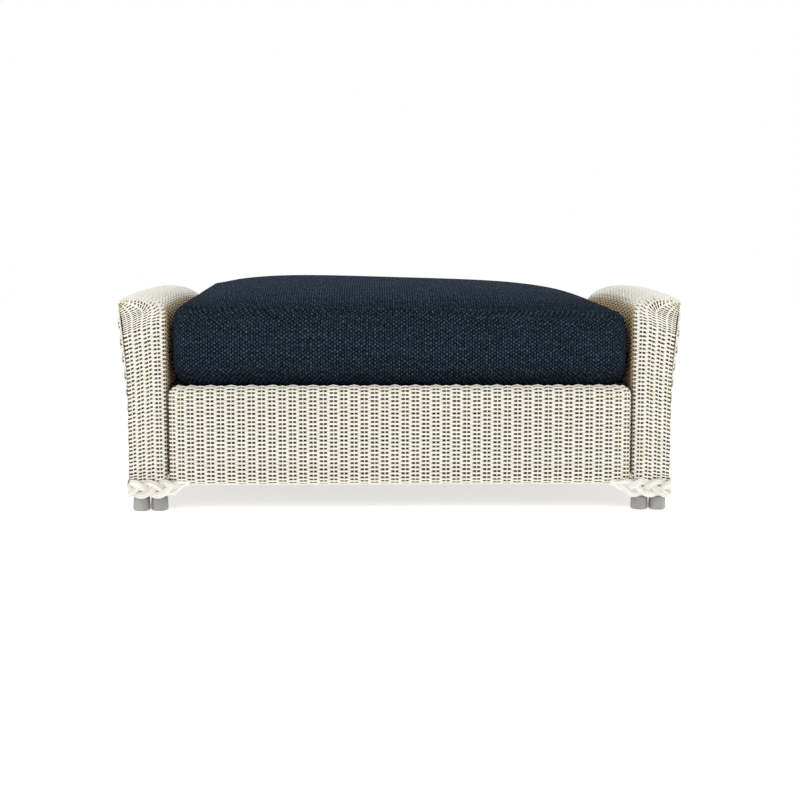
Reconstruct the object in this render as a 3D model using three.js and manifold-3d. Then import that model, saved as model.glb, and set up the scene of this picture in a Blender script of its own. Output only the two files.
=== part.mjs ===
// Woven outdoor ottoman: a tube frame under woven skins, plaited trim and a loose boxed cushion.
// Millimetres, +Z up. The origin is on the floor under the middle. The front faces -Y.

import * as THREE from 'three';
import { mergeVertices } from 'three/addons/utils/BufferGeometryUtils.js';
import Module from 'manifold-3d';

const wasm = await Module();
wasm.setup();

// Weave and clearances
const weave = 6.1;
const fit = 0.3;
const overrun = 4;
const weldTolerance = 0.0002;

// Outline of the woven body
const overallDepth = 620;
const weaveBottom = 47;
const apronHalfWidth = 420;
const apronTop = 230;
const apronCornerRadius = 16;
const apronSetBack = 2.5;
const apronToArm = 2;
const apronReturnAngle = 35;
const apronTopWrapAngle = 88;
const wrapSegments = 5;

// Arm outline
const crestHeight = 395;
const crestCrown = 9;
const shoulderRise = 50;
const shoulderWidth = 48;
const armOuterDrop = 12;
const armFlare = 14;
const flareStart = 190;
const panelBulge = 7;
const bulgeStart = 160;
const bulgeFull = 315;
const bulgeEnd = 350;
const rollDepth = 50;
const rollInset = 26;
const cornerRollDepth = 12;
const cornerRollInset = 4;
const rollBuildShare = 0.45;
const rollFadeShare = 0.5;

// Tube frame
const tubeDiameter = 25.4;
const tubeWall = 1.8;
const tubeSides = 12;
const boreDepth = 20;
const hoopBendRadius = 62;
const hoopRailDrop = 5;
const bowBendRadius = 38;
const bendSegments = 4;
const crossbarDiameter = 16;
const crossbarInset = 95;
const crestEndInset = 62;
const weldDepth = 1.5;

// Flared foot caps on the ends of the legs
const capFloor = 5;
const capHeight = 26;
const capRimWall = 1.4;
const capFlare = 0.9;
const capEdge = 3;
const capEdgeSegments = 3;
const capSides = 24;
const capGap = 1.9;

// Seat straps
const strapWidth = 50;
const strapThickness = 1.8;
const longStrapCount = 4;
const crossStrapCount = 7;
const strapLap = 9;
const strapRamp = 12;
const sideRailInset = 17;

// Plaited trim: strands in phase steps, sampled where they cross
const plaitPeriod = 90;
const plaitStepCount = 6;
const plaitWidth = 33;
const strandWidth = 10.4;
const strandThickness = 3.9;
const plaitDepth = 3.8;
const strandCount = 3;
const footPlaitHeight = 42.5;
const footTailRise = 6;
const footTailLength = 42;
const tailWidthShare = 0.3;
const sidePlaitInset = 28;
const sidePlaitBend = 44;
const sidePlaitGap = 3;

// Cushion
const cushionSideGap = 10;
const cushionEndInset = 4;
const cushionEdgeHeight = 154;
const cushionCrown = 33;
const crownExponent = 4.2;
const fillLeanSideways = -10;
const fillLeanBack = 12;
const fillLeanTwist = -4;
const cushionCorner = 36;
const cushionPull = 16;
const cushionUnderPull = 22;
const cushionBulgeLow = 34;
const cushionBulgeHigh = 116;
const cushionShoulder = 12;
const coverThickness = 1.6;

// Zip along the back of the cushion
const zipLength = 560;
const zipHeight = 75;
const zipGap = 4;
const sliderLength = 11;
const sliderHeight = 9;
const sliderThickness = 3.2;
const sliderLug = 2.4;
const pinDiameter = 1.6;
const pullLength = 26;
const pullWidth = 6.5;
const pullThickness = 1.4;
const pullEye = 3;

// Sizes worked out from those above
const tubeRadius = tubeDiameter / 2;
const wrapRadius = tubeRadius + fit + weave;
const frontY = overallDepth / 2;
const armInnerX = apronHalfWidth + apronToArm;
const capRim = tubeRadius + fit + capRimWall;
const capFoot = capRim + capFlare;
const innerPostX = armInnerX + wrapRadius;
const outerPostX = innerPostX + capFoot * 2 + capGap;
const postY = frontY - wrapRadius;
const outerBottomX = outerPostX + wrapRadius;
const apronY = frontY - apronSetBack;
const railY = apronY - wrapRadius;
const lowRailZ = weaveBottom + wrapRadius;
const seatRailZ = apronTop - wrapRadius;
const legBottom = capFloor + fit;
const shoulderHeight = crestHeight - shoulderRise;
const armOuterHeight = crestHeight - armOuterDrop;
const hoopRailHeight = shoulderHeight - hoopRailDrop;
const sideRailX = apronHalfWidth - sideRailInset;
const strapPlane = seatRailZ + tubeRadius + fit + strapThickness + fit / 2;
const cushionBottom = strapPlane + fit / 2 + strapThickness + fit;
const cushionWidth = (armInnerX - cushionSideGap) * 2;
const cushionDepth = (frontY - cushionEndInset) * 2;
const plaitStand = plaitDepth * Math.sin(Math.PI / strandCount) + strandThickness / 2 + fit;
const sides = [['left', -1], ['right', 1]];
const ends = [['front', -1], ['back', 1]];

const antiqueWeave = { color: 0xd6d2c4, roughness: 0.62, metalness: 0 };
const paleBraid = { color: 0xe6e2d6, roughness: 0.58, metalness: 0 };
const satinAluminium = { color: 0xa6a7a6, roughness: 0.38, metalness: 0.85 };
const paintedTube = { color: 0xcfc9b8, roughness: 0.5, metalness: 0.1 };
const greyNylon = { color: 0x8b8c8b, roughness: 0.55, metalness: 0 };
const brownStrap = { color: 0x4a3a2a, roughness: 0.7, metalness: 0 };
const navyCloth = { color: 0x232b34, roughness: 0.95, metalness: 0 };
const paleFoam = { color: 0xe3dcc4, roughness: 0.9, metalness: 0 };
const darkTape = { color: 0x1c222b, roughness: 0.8, metalness: 0 };
const zipMetal = { color: 0x9a9b9c, roughness: 0.35, metalness: 0.9 };

// Adds one named sub-part to a group
function addPart(group, name, geometry, finish) {
  const mesh = new THREE.Mesh(geometry, new THREE.MeshStandardMaterial(finish));
  mesh.name = name;
  group.add(mesh);
  return mesh;
}

// A closed geometry as a solid for joining and cutting
function solidOf(geometry) {
  const bare = new THREE.BufferGeometry();
  bare.setAttribute('position', geometry.attributes.position);
  bare.setIndex(geometry.index);
  const welded = mergeVertices(bare, weldTolerance);
  const mesh = new wasm.Mesh({
    numProp: 3,
    vertProperties: welded.attributes.position.array,
    triVerts: welded.index.array,
  });
  return new wasm.Manifold(mesh);
}

function geometryOf(solid) {
  const mesh = solid.getMesh();
  const geometry = new THREE.BufferGeometry();
  geometry.setAttribute('position', new THREE.BufferAttribute(mesh.vertProperties, 3));
  geometry.setIndex(new THREE.BufferAttribute(mesh.triVerts, 1));
  geometry.computeVertexNormals();
  return geometry;
}

// Turns the faces over if the body is inside out
function outwardFacing(geometry) {
  const position = geometry.attributes.position;
  const order = geometry.index.array;
  const corner = [new THREE.Vector3(), new THREE.Vector3(), new THREE.Vector3()];
  let volume = 0;
  for (let i = 0; i < order.length; i += 3) {
    corner.forEach((point, k) => point.fromBufferAttribute(position, order[i + k]));
    volume += corner[0].dot(corner[1].clone().cross(corner[2]));
  }
  if (volume < 0) {
    for (let i = 0; i < order.length; i += 3) {
      [order[i], order[i + 1]] = [order[i + 1], order[i]];
    }
    geometry.computeVertexNormals();
  }
  return geometry;
}

// A form made for the right, or its mirror image for the left
function onSide(geometry, side) {
  if (side > 0) {
    return geometry;
  }
  return outwardFacing(geometry.clone().applyMatrix4(new THREE.Matrix4().makeScale(side, 1, 1)));
}

// A path through stations, sampled exactly at them
class StationPath extends THREE.Curve {
  constructor(stations) {
    super();
    this.stations = stations;
  }

  getUtoTmapping(u) {
    return u;
  }

  getPoint(t, target = new THREE.Vector3()) {
    const last = this.stations.length - 1;
    const place = Math.min(t, 1) * last;
    const index = Math.min(Math.floor(place), last - 1);
    return target.lerpVectors(this.stations[index], this.stations[index + 1], place - index);
  }

  getTangent(t, target = new THREE.Vector3()) {
    const last = this.stations.length - 1;
    const index = Math.round(t * last);
    const before = this.stations[Math.max(index - 1, 0)];
    const here = this.stations[index];
    const after = this.stations[Math.min(index + 1, last)];
    const arriving = here.clone().sub(before).normalize();
    const leaving = after.clone().sub(here).normalize();
    return target.copy(arriving).add(leaving).normalize();
  }
}

// Corner points turned into a path whose corners are arcs
function roundedStations(corners, radius, segments) {
  const stations = [corners[0]];
  for (let i = 1; i < corners.length - 1; i += 1) {
    const back = corners[i - 1].clone().sub(corners[i]).normalize();
    const on = corners[i + 1].clone().sub(corners[i]).normalize();
    const half = back.angleTo(on) / 2;
    const middle = back.clone().add(on).normalize();
    const centre = corners[i].clone().addScaledVector(middle, radius / Math.sin(half));
    const first = corners[i].clone().addScaledVector(back, radius / Math.tan(half)).sub(centre);
    const final = corners[i].clone().addScaledVector(on, radius / Math.tan(half)).sub(centre);
    const axis = first.clone().cross(final).normalize();
    const sweep = first.angleTo(final);
    for (let k = 0; k <= segments; k += 1) {
      const arm = first.clone().applyAxisAngle(axis, sweep * k / segments);
      stations.push(centre.clone().add(arm));
    }
  }
  stations.push(corners[corners.length - 1]);
  return stations;
}

function tubeThrough(stations, radius, facets) {
  const section = new THREE.Shape().absarc(0, 0, radius, 0, Math.PI * 2);
  return new THREE.ExtrudeGeometry(section, {
    steps: stations.length - 1,
    curveSegments: facets / 2,
    bevelEnabled: false,
    extrudePath: new StationPath(stations),
  });
}

function smooth(value) {
  const t = Math.min(Math.max(value, 0), 1);
  return t * t * (3 - 2 * t);
}

// Outer edge of an arm's end faces at a height: it leans out towards the top
function sideX(z) {
  const rise = Math.max(z - flareStart, 0) / (armOuterHeight - flareStart);
  return outerBottomX + armFlare * rise * rise;
}

// How far the outer hoop and the panel on it stand out past the end faces at a height
function bulgeAt(z) {
  const rise = smooth((z - bulgeStart) / (bulgeFull - bulgeStart));
  const fall = smooth((z - bulgeEnd) / (crestHeight - bulgeEnd));
  return panelBulge * rise * (1 - fall);
}

function panelX(z) {
  return sideX(z) + bulgeAt(z);
}

// Direction square to the outer panel at a height
function panelNormal(z) {
  const slope = (panelX(z + weave) - panelX(z - weave)) / (weave * 2);
  return new THREE.Vector3(1, 0, -slope).normalize();
}

// A woven sheet between an outer grid of points and its offset, closed along its four edges
function sheetFrom(grid, thickness) {
  const rows = grid.length;
  const columns = grid[0].length;
  const towards = (from, to) => to.clone().sub(from).normalize();
  const slopeAt = (here, before, after) => towards(before ?? here, here).add(towards(here, after ?? here));
  const inner = grid.map((row, i) => row.map((point, j) => {
    const along = slopeAt(point, row[j - 1], row[j + 1]);
    const across = slopeAt(point, grid[i - 1]?.[j], grid[i + 1]?.[j]);
    return point.clone().addScaledVector(along.cross(across).normalize(), -thickness);
  }));
  const points = [...grid.flat(), ...inner.flat()];
  const at = (i, j, layer) => layer * rows * columns + i * columns + j;
  const faces = [];
  const quad = (a, b, c, d) => faces.push(a, b, c, a, c, d);
  for (let i = 0; i < rows - 1; i += 1) {
    for (let j = 0; j < columns - 1; j += 1) {
      quad(at(i, j, 0), at(i, j + 1, 0), at(i + 1, j + 1, 0), at(i + 1, j, 0));
      quad(at(i, j, 1), at(i + 1, j, 1), at(i + 1, j + 1, 1), at(i, j + 1, 1));
    }
  }
  for (let i = 0; i < rows - 1; i += 1) {
    const j = columns - 1;
    quad(at(i, 0, 0), at(i + 1, 0, 0), at(i + 1, 0, 1), at(i, 0, 1));
    quad(at(i + 1, j, 0), at(i, j, 0), at(i, j, 1), at(i + 1, j, 1));
  }
  for (let j = 0; j < columns - 1; j += 1) {
    quad(at(0, j + 1, 0), at(0, j, 0), at(0, j, 1), at(0, j + 1, 1));
    quad(at(rows - 1, j, 0), at(rows - 1, j + 1, 0), at(rows - 1, j + 1, 1), at(rows - 1, j, 1));
  }
  const geometry = new THREE.BufferGeometry().setFromPoints(points);
  geometry.setIndex(faces);
  geometry.computeVertexNormals();
  return geometry;
}

// Outline of an arm across its width: up the inner side, over the shoulder and out to the outer edge
function armOutline() {
  const sideHeights = [weaveBottom, flareStart, (flareStart + shoulderHeight) / 2];
  const points = sideHeights.map((z) => new THREE.Vector2(armInnerX, z));
  const shoulderSegments = 5;
  for (let k = 0; k <= shoulderSegments; k += 1) {
    const angle = Math.PI / 2 * k / shoulderSegments;
    const x = armInnerX + shoulderWidth * (1 - Math.cos(angle));
    const z = shoulderHeight + (crestHeight - shoulderHeight) * Math.sin(angle);
    points.push(new THREE.Vector2(x, z));
  }
  const topSegments = 4;
  const topStart = armInnerX + shoulderWidth;
  for (let k = 1; k <= topSegments; k += 1) {
    const share = k / topSegments;
    const x = topStart + (sideX(armOuterHeight) - topStart) * share;
    const z = crestHeight - (crestHeight - armOuterHeight) * share * share;
    points.push(new THREE.Vector2(x, z));
  }
  return points;
}

// The roll where the top of an arm turns down into its end: how deep it runs and how far it draws in
function rollAt(overTheTop) {
  const build = smooth(overTheTop / rollBuildShare);
  const fade = smooth((overTheTop - rollFadeShare) / (1 - rollFadeShare));
  const depth = THREE.MathUtils.lerp(wrapRadius, rollDepth, build);
  const inset = THREE.MathUtils.lerp(wrapRadius, rollInset, build);
  return {
    depth: THREE.MathUtils.lerp(depth, cornerRollDepth, fade),
    inset: THREE.MathUtils.lerp(inset, cornerRollInset, fade),
  };
}

// One arm's woven skin: inner side, top and both ends, open at the outer side and underneath
function armSkin() {
  const outline = armOutline();
  const lengths = [0];
  for (let i = 1; i < outline.length; i += 1) {
    lengths.push(lengths[i - 1] + outline[i].distanceTo(outline[i - 1]));
  }
  const total = lengths[lengths.length - 1];
  const shoulderStart = shoulderHeight - weaveBottom;
  const edgeTop = armOuterHeight - cornerRollInset - weave / 2;
  const faceSegments = 3;
  const rollSegments = 4;
  const nearShare = 0.5;
  const grid = outline.map((point, i) => {
    const before = outline[Math.max(i - 1, 0)];
    const after = outline[Math.min(i + 1, outline.length - 1)];
    const run = after.clone().sub(before).normalize();
    const inward = new THREE.Vector2(run.y, -run.x);
    const overTheTop = Math.max(lengths[i] - shoulderStart, 0) / (total - shoulderStart);
    const roll = rollAt(overTheTop);
    const lift = crestCrown * Math.sin(Math.PI * Math.min(overTheTop * 2, 1) / 2) ** 2;
    const edgeZ = weaveBottom + (edgeTop - weaveBottom) * lengths[i] / total;
    const edge = new THREE.Vector2(sideX(edgeZ), edgeZ);
    const rim = point.clone().addScaledVector(inward, roll.inset);
    const half = [];
    for (let k = 0; k < faceSegments; k += 1) {
      const spot = edge.clone().lerp(rim, k / faceSegments);
      half.push(new THREE.Vector3(spot.x, -frontY, spot.y));
    }
    for (let k = rollSegments; k >= 0; k -= 1) {
      const angle = Math.PI / 2 * k / rollSegments;
      const spot = point.clone().addScaledVector(inward, roll.inset * (1 - Math.cos(angle)));
      const y = -(frontY - roll.depth + roll.depth * Math.sin(angle));
      half.push(new THREE.Vector3(spot.x, y, spot.y));
    }
    const nearY = (frontY - roll.depth) * nearShare;
    half.push(new THREE.Vector3(point.x, -nearY, point.y + lift * (1 - nearShare ** 2)));
    const middle = new THREE.Vector3(point.x, 0, point.y + lift);
    const rest = half.map((spot) => new THREE.Vector3(spot.x, -spot.y, spot.z)).reverse();
    return [...half, middle, ...rest].reverse();
  });
  let skin = solidOf(sheetFrom(grid, weave));
  for (const [, end] of ends) {
    const passage = tubeThrough([
      new THREE.Vector3(armInnerX - overrun, end * railY, seatRailZ),
      new THREE.Vector3(innerPostX, end * railY, seatRailZ),
    ], tubeRadius + fit, tubeSides);
    skin = skin.subtract(solidOf(passage));
    skin = skin.subtract(solidOf(baseBow(end, tubeRadius + fit)));
  }
  return geometryOf(skin);
}

// Woven panel on the outer side of an arm, laid on the outer hoop
function sidePanel() {
  const heightSegments = 12;
  const reach = frontY - weave - fit;
  const top = armOuterHeight - weave - fit * 2;
  const grid = [];
  for (let i = 0; i <= heightSegments; i += 1) {
    const z = weaveBottom + (top - weaveBottom) * i / heightSegments;
    grid.push([reach, 0, -reach].map((y) => new THREE.Vector3(panelX(z), y, z)));
  }
  return sheetFrom(grid.reverse(), weave);
}

// Woven apron: wrapped under the low rail, up the face and over the seat rail
function apron() {
  const turn = THREE.MathUtils.degToRad;
  const profile = [];
  for (let k = 0; k <= wrapSegments; k += 1) {
    const angle = turn(-90 - apronReturnAngle + (90 + apronReturnAngle) * k / wrapSegments);
    const y = -(railY + wrapRadius * Math.cos(angle));
    profile.push(new THREE.Vector2(y, lowRailZ + wrapRadius * Math.sin(angle)));
  }
  for (let k = 0; k <= wrapSegments; k += 1) {
    const angle = turn(apronTopWrapAngle * k / wrapSegments);
    const y = -(railY + wrapRadius * Math.cos(angle));
    profile.push(new THREE.Vector2(y, seatRailZ + wrapRadius * Math.sin(angle)));
  }
  const grid = profile.map(({ x, y }) => sides.map(([, side]) => (
    new THREE.Vector3(side * apronHalfWidth, x, y))));
  const sheet = solidOf(sheetFrom(grid, weave));
  const face = roundedTopRectangle(apronHalfWidth, weaveBottom - overrun, apronTop, apronCornerRadius);
  const cornerSegments = 4;
  const trim = new THREE.ExtrudeGeometry(face, {
    depth: overallDepth,
    bevelEnabled: false,
    curveSegments: cornerSegments,
  });
  trim.rotateX(Math.PI / 2);
  const trimmed = sheet.intersect(solidOf(trim));
  return geometryOf(trimmed.subtract(solidOf(baseBow(-1, tubeRadius + fit))));
}

function roundedTopRectangle(halfWidth, bottom, top, radius) {
  const shape = new THREE.Shape();
  shape.moveTo(-halfWidth, bottom);
  shape.lineTo(halfWidth, bottom);
  shape.lineTo(halfWidth, top - radius);
  shape.absarc(halfWidth - radius, top - radius, radius, 0, Math.PI / 2);
  shape.lineTo(-halfWidth + radius, top);
  shape.absarc(-halfWidth + radius, top - radius, radius, Math.PI / 2, Math.PI);
  shape.closePath();
  return shape;
}

// Inner legs and low rail in one bent tube, under the apron
function baseBow(end, radius) {
  const y = end * railY;
  const corners = [
    new THREE.Vector3(-innerPostX, y, legBottom),
    new THREE.Vector3(-innerPostX, y, lowRailZ),
    new THREE.Vector3(innerPostX, y, lowRailZ),
    new THREE.Vector3(innerPostX, y, legBottom),
  ];
  return tubeThrough(roundedStations(corners, bowBendRadius, bendSegments), radius, tubeSides);
}

function legBore(x, y) {
  const bore = new THREE.CylinderGeometry(
    tubeRadius - tubeWall, tubeRadius - tubeWall, boreDepth + overrun, tubeSides);
  bore.rotateX(Math.PI / 2);
  bore.translate(x, y, legBottom + (boreDepth - overrun) / 2);
  return solidOf(bore);
}

function baseBowPart(end) {
  let bow = solidOf(baseBow(end, tubeRadius));
  for (const [, side] of sides) {
    bow = bow.subtract(legBore(side * innerPostX, end * railY));
  }
  return geometryOf(bow);
}

// Outer legs and outer arm rail in one bent tube, leaning out with the side
function outerHoop() {
  const corners = [
    new THREE.Vector3(0, -postY, legBottom),
    new THREE.Vector3(0, -postY, hoopRailHeight),
    new THREE.Vector3(0, postY, hoopRailHeight),
    new THREE.Vector3(0, postY, legBottom),
  ];
  const stations = roundedStations(corners, hoopBendRadius, bendSegments);
  const leanStart = Math.min(flareStart, bulgeStart);
  const leanStations = 7;
  const start = stations[1].z;
  for (const [place, end] of [[1, -1], [stations.length + leanStations - 1, 1]]) {
    for (let k = 0; k < leanStations; k += 1) {
      const step = end < 0 ? k : leanStations - 1 - k;
      const z = leanStart + (start - leanStart) * step / leanStations;
      stations.splice(place + k, 0, new THREE.Vector3(0, end * postY, z));
    }
  }
  stations.forEach((point) => {
    point.x = panelX(point.z) - wrapRadius;
  });
  let hoop = solidOf(tubeThrough(stations, tubeRadius, tubeSides));
  for (const [, end] of ends) {
    hoop = hoop.subtract(legBore(outerPostX, end * postY));
  }
  return geometryOf(hoop);
}

// Inner arm posts and inner arm rail in one bent tube, coped over the bows below
function innerHoop() {
  const corners = [
    new THREE.Vector3(innerPostX, -postY, weaveBottom),
    new THREE.Vector3(innerPostX, -postY, hoopRailHeight),
    new THREE.Vector3(innerPostX, postY, hoopRailHeight),
    new THREE.Vector3(innerPostX, postY, weaveBottom),
  ];
  const stations = roundedStations(corners, hoopBendRadius, bendSegments);
  let hoop = solidOf(tubeThrough(stations, tubeRadius, tubeSides));
  for (const [, end] of ends) {
    hoop = hoop.subtract(solidOf(baseBow(end, tubeRadius + fit)));
  }
  return geometryOf(hoop);
}

// Crest rail of an arm welded on two crossbars that lie on the arm rails
function armCrestFrame() {
  const barRadius = crossbarDiameter / 2;
  const barZ = hoopRailHeight + tubeRadius + fit + barRadius;
  const top = crestHeight - weave - fit;
  const radius = (top - barZ - barRadius + weldDepth) / 2;
  const crestX = armInnerX + shoulderWidth;
  const endY = frontY - crestEndInset;
  const outerX = panelX(hoopRailHeight) - wrapRadius;
  let frame = solidOf(tubeThrough([
    new THREE.Vector3(crestX, -endY, top - radius),
    new THREE.Vector3(crestX, endY, top - radius),
  ], radius, tubeSides));
  for (const [, end] of ends) {
    const y = end * (frontY - crossbarInset);
    const bar = tubeThrough([
      new THREE.Vector3(innerPostX - barRadius / 2, y, barZ),
      new THREE.Vector3(outerX + barRadius, y, barZ),
    ], barRadius, tubeSides);
    frame = frame.add(solidOf(bar));
  }
  return geometryOf(frame);
}

function straightTube(from, to) {
  return tubeThrough([from, to], tubeRadius, tubeSides);
}

function seatRail(end) {
  const reach = innerPostX - tubeRadius - fit;
  return straightTube(
    new THREE.Vector3(-reach, end * railY, seatRailZ),
    new THREE.Vector3(reach, end * railY, seatRailZ));
}

function seatSideRail(side) {
  const reach = railY - tubeRadius - fit;
  return straightTube(
    new THREE.Vector3(side * sideRailX, -reach, seatRailZ),
    new THREE.Vector3(side * sideRailX, reach, seatRailZ));
}

function footSideRail(side) {
  const reach = postY - tubeRadius - fit;
  return straightTube(
    new THREE.Vector3(side * outerPostX, -reach, lowRailZ),
    new THREE.Vector3(side * outerPostX, reach, lowRailZ));
}

// Foot cap that a leg stands in, a little wider at the floor and round at its edge
function footCap() {
  const profile = [new THREE.Vector2(0, 0)];
  for (let k = 0; k <= capEdgeSegments; k += 1) {
    const angle = Math.PI / 2 * k / capEdgeSegments;
    const x = capFoot - capEdge + capEdge * Math.sin(angle);
    profile.push(new THREE.Vector2(x, capEdge - capEdge * Math.cos(angle)));
  }
  profile.push(new THREE.Vector2(capRim, capHeight));
  profile.push(new THREE.Vector2(tubeRadius + fit, capHeight));
  profile.push(new THREE.Vector2(tubeRadius + fit, capFloor));
  profile.push(new THREE.Vector2(0, capFloor));
  return new THREE.LatheGeometry(profile, capSides).rotateX(Math.PI / 2);
}

// A strap that passes over one crossing strap and under the next
function wavedStrap(halfLength, crossings, startsOver) {
  const lift = (strapThickness + fit) / 2;
  const level = (k) => ((k % 2 === 0) === startsOver ? lift : -lift);
  const centre = [[-halfLength, 0]];
  crossings.forEach((place, k) => {
    const reach = strapWidth / 2 + fit;
    if (k > 0 || place - reach - strapRamp > -halfLength) {
      centre.push([place - reach, level(k)]);
    }
    centre.push([place + reach, level(k)]);
  });
  centre.push([halfLength, 0]);
  const shape = new THREE.Shape();
  shape.moveTo(-halfLength, -strapThickness / 2);
  centre.slice(1).forEach(([along, up]) => shape.lineTo(along, up - strapThickness / 2));
  centre.reverse().forEach(([along, up]) => shape.lineTo(along, up + strapThickness / 2));
  shape.closePath();
  const geometry = new THREE.ExtrudeGeometry(shape, { depth: strapWidth, bevelEnabled: false });
  geometry.translate(0, 0, -strapWidth / 2);
  return geometry.rotateX(Math.PI / 2);
}

function spread(count, reach) {
  return Array.from({ length: count }, (_, k) => reach * ((2 * k + 1) / count - 1));
}

// One strand of a plait: it swings across the route once a period and dips under the others twice
function plaitStrand(route, phase) {
  const stations = route.map(({ point, across, out, width }, k) => {
    const angle = Math.PI * 2 * (k / plaitStepCount + phase / strandCount) + Math.PI / plaitStepCount;
    const swing = (plaitWidth - strandWidth) / 2 * width;
    return {
      centre: point.clone()
        .addScaledVector(across, swing * Math.sin(angle))
        .addScaledVector(out, plaitDepth * Math.sin(2 * angle) * width),
      out,
      width,
    };
  });
  const rings = stations.map(({ centre, out, width }, k) => {
    const before = stations[Math.max(k - 1, 0)].centre;
    const after = stations[Math.min(k + 1, stations.length - 1)].centre;
    const run = after.clone().sub(before).normalize();
    const wide = out.clone().cross(run).normalize();
    const thick = run.clone().cross(wide).normalize();
    return [[1, 0], [0, 1], [-1, 0], [0, -1]].map(([a, b]) => centre.clone()
      .addScaledVector(wide, a * width * strandWidth / 2)
      .addScaledVector(thick, b * width * strandThickness / 2));
  });
  return ringsToSolid(rings);
}

// A closed body through rings of equal length, with flat ends
function ringsToSolid(rings) {
  const count = rings[0].length;
  const faces = [];
  for (let i = 0; i < rings.length - 1; i += 1) {
    for (let j = 0; j < count; j += 1) {
      const next = (j + 1) % count;
      const a = i * count + j;
      const b = i * count + next;
      faces.push(a, b, b + count, a, b + count, a + count);
    }
  }
  const last = (rings.length - 1) * count;
  for (let j = 1; j < count - 1; j += 1) {
    faces.push(0, j + 1, j, last, last + j, last + j + 1);
  }
  const geometry = new THREE.BufferGeometry().setFromPoints(rings.flat());
  geometry.setIndex(faces);
  geometry.computeVertexNormals();
  return outwardFacing(geometry);
}

// Splits straight runs between corner stations into even steps of about one plait sample
function evenSteps(corners) {
  const step = plaitPeriod / plaitStepCount;
  const route = [corners[0]];
  for (let i = 1; i < corners.length; i += 1) {
    const from = corners[i - 1];
    const to = corners[i];
    const count = Math.max(Math.round(from.point.distanceTo(to.point) / step), 1);
    for (let k = 1; k <= count; k += 1) {
      const share = k / count;
      route.push({
        point: from.point.clone().lerp(to.point, share),
        across: from.across.clone().lerp(to.across, share).normalize(),
        out: (k === count ? to.out : from.away ?? from.out).clone(),
        width: THREE.MathUtils.lerp(from.width, to.width, share),
      });
    }
  }
  return route;
}

// Route of the plait round the foot of an arm, from its tail under the front apron to the one behind
function footPlaitRoute() {
  const up = new THREE.Vector3(0, 0, 1);
  const half = [
    [innerPostX - tubeRadius - footTailLength, footPlaitHeight + footTailRise, tailWidthShare],
    [innerPostX - tubeRadius, footPlaitHeight, 1],
  ];
  const front = new THREE.Vector3(0, -1, 0);
  const outer = new THREE.Vector3(1, 0, 0);
  const y = frontY + plaitStand;
  const x = outerBottomX + plaitStand;
  const corners = half.map(([place, z, width]) => ({
    point: new THREE.Vector3(place, -y, z), across: up, out: front, width,
  }));
  corners.push({
    point: new THREE.Vector3(x, -y, footPlaitHeight),
    across: up,
    out: front.clone().add(outer),
    away: outer,
    width: 1,
  });
  const behind = corners.map((stop) => ({
    ...stop,
    point: new THREE.Vector3(stop.point.x, -stop.point.y, stop.point.z),
    out: new THREE.Vector3(stop.out.x, -stop.out.y, 0),
    away: stop.away ? front.clone().negate() : undefined,
  })).reverse();
  return evenSteps([...corners, ...behind]);
}

// Route of the plait round the edge of the outer panel: up the front, along the top and down the back
function sidePlaitRoute() {
  const y = frontY - sidePlaitInset - plaitWidth / 2;
  const bottom = footPlaitHeight + plaitWidth / 2 + sidePlaitGap;
  const top = armOuterHeight - sidePlaitGap - plaitWidth / 2;
  const bendSteps = Math.round(Math.PI / 2 * sidePlaitBend / (plaitPeriod / plaitStepCount));
  const line = roundedStations([
    new THREE.Vector3(0, -y, bottom),
    new THREE.Vector3(0, -y, top),
    new THREE.Vector3(0, y, top),
    new THREE.Vector3(0, y, bottom),
  ], sidePlaitBend, bendSteps);
  const corners = line.map((point, k) => {
    const before = line[Math.max(k - 1, 0)];
    const after = line[Math.min(k + 1, line.length - 1)];
    const run = after.clone().sub(before).normalize();
    const out = panelNormal(point.z);
    return { point, across: run.cross(out).normalize(), out, width: 1 };
  });
  return evenSteps(corners).map((stop) => {
    const out = panelNormal(stop.point.z);
    const onPanel = new THREE.Vector3(panelX(stop.point.z), stop.point.y, stop.point.z);
    return { ...stop, out, point: onPanel.addScaledVector(out, plaitStand) };
  });
}

// Plan outline of the cushion at one level, drawn in by an inset and shrunk to a share
function cushionRing(inset, z, share) {
  const halfX = cushionWidth / 2 - inset;
  const halfY = cushionDepth / 2 - inset;
  const radius = cushionCorner - inset / 2;
  const cornerSegments = 3;
  const longSideSteps = 4;
  const shortSideSteps = 3;
  const cornerPoint = ([sideX, sideY], turn) => new THREE.Vector3(
    (sideX * (halfX - radius) + radius * Math.cos(turn)) * share,
    (sideY * (halfY - radius) + radius * Math.sin(turn)) * share,
    z);
  const quadrants = [[1, 1], [-1, 1], [-1, -1], [1, -1]];
  const ring = [];
  quadrants.forEach((quadrant, q) => {
    for (let k = 0; k <= cornerSegments; k += 1) {
      ring.push(cornerPoint(quadrant, Math.PI / 2 * (q + k / cornerSegments)));
    }
    const from = ring[ring.length - 1];
    const to = cornerPoint(quadrants[(q + 1) % quadrants.length], Math.PI / 2 * (q + 1));
    const steps = q % 2 === 0 ? longSideSteps : shortSideSteps;
    for (let k = 1; k < steps; k += 1) {
      ring.push(from.clone().lerp(to, k / steps));
    }
  });
  return ring;
}

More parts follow.
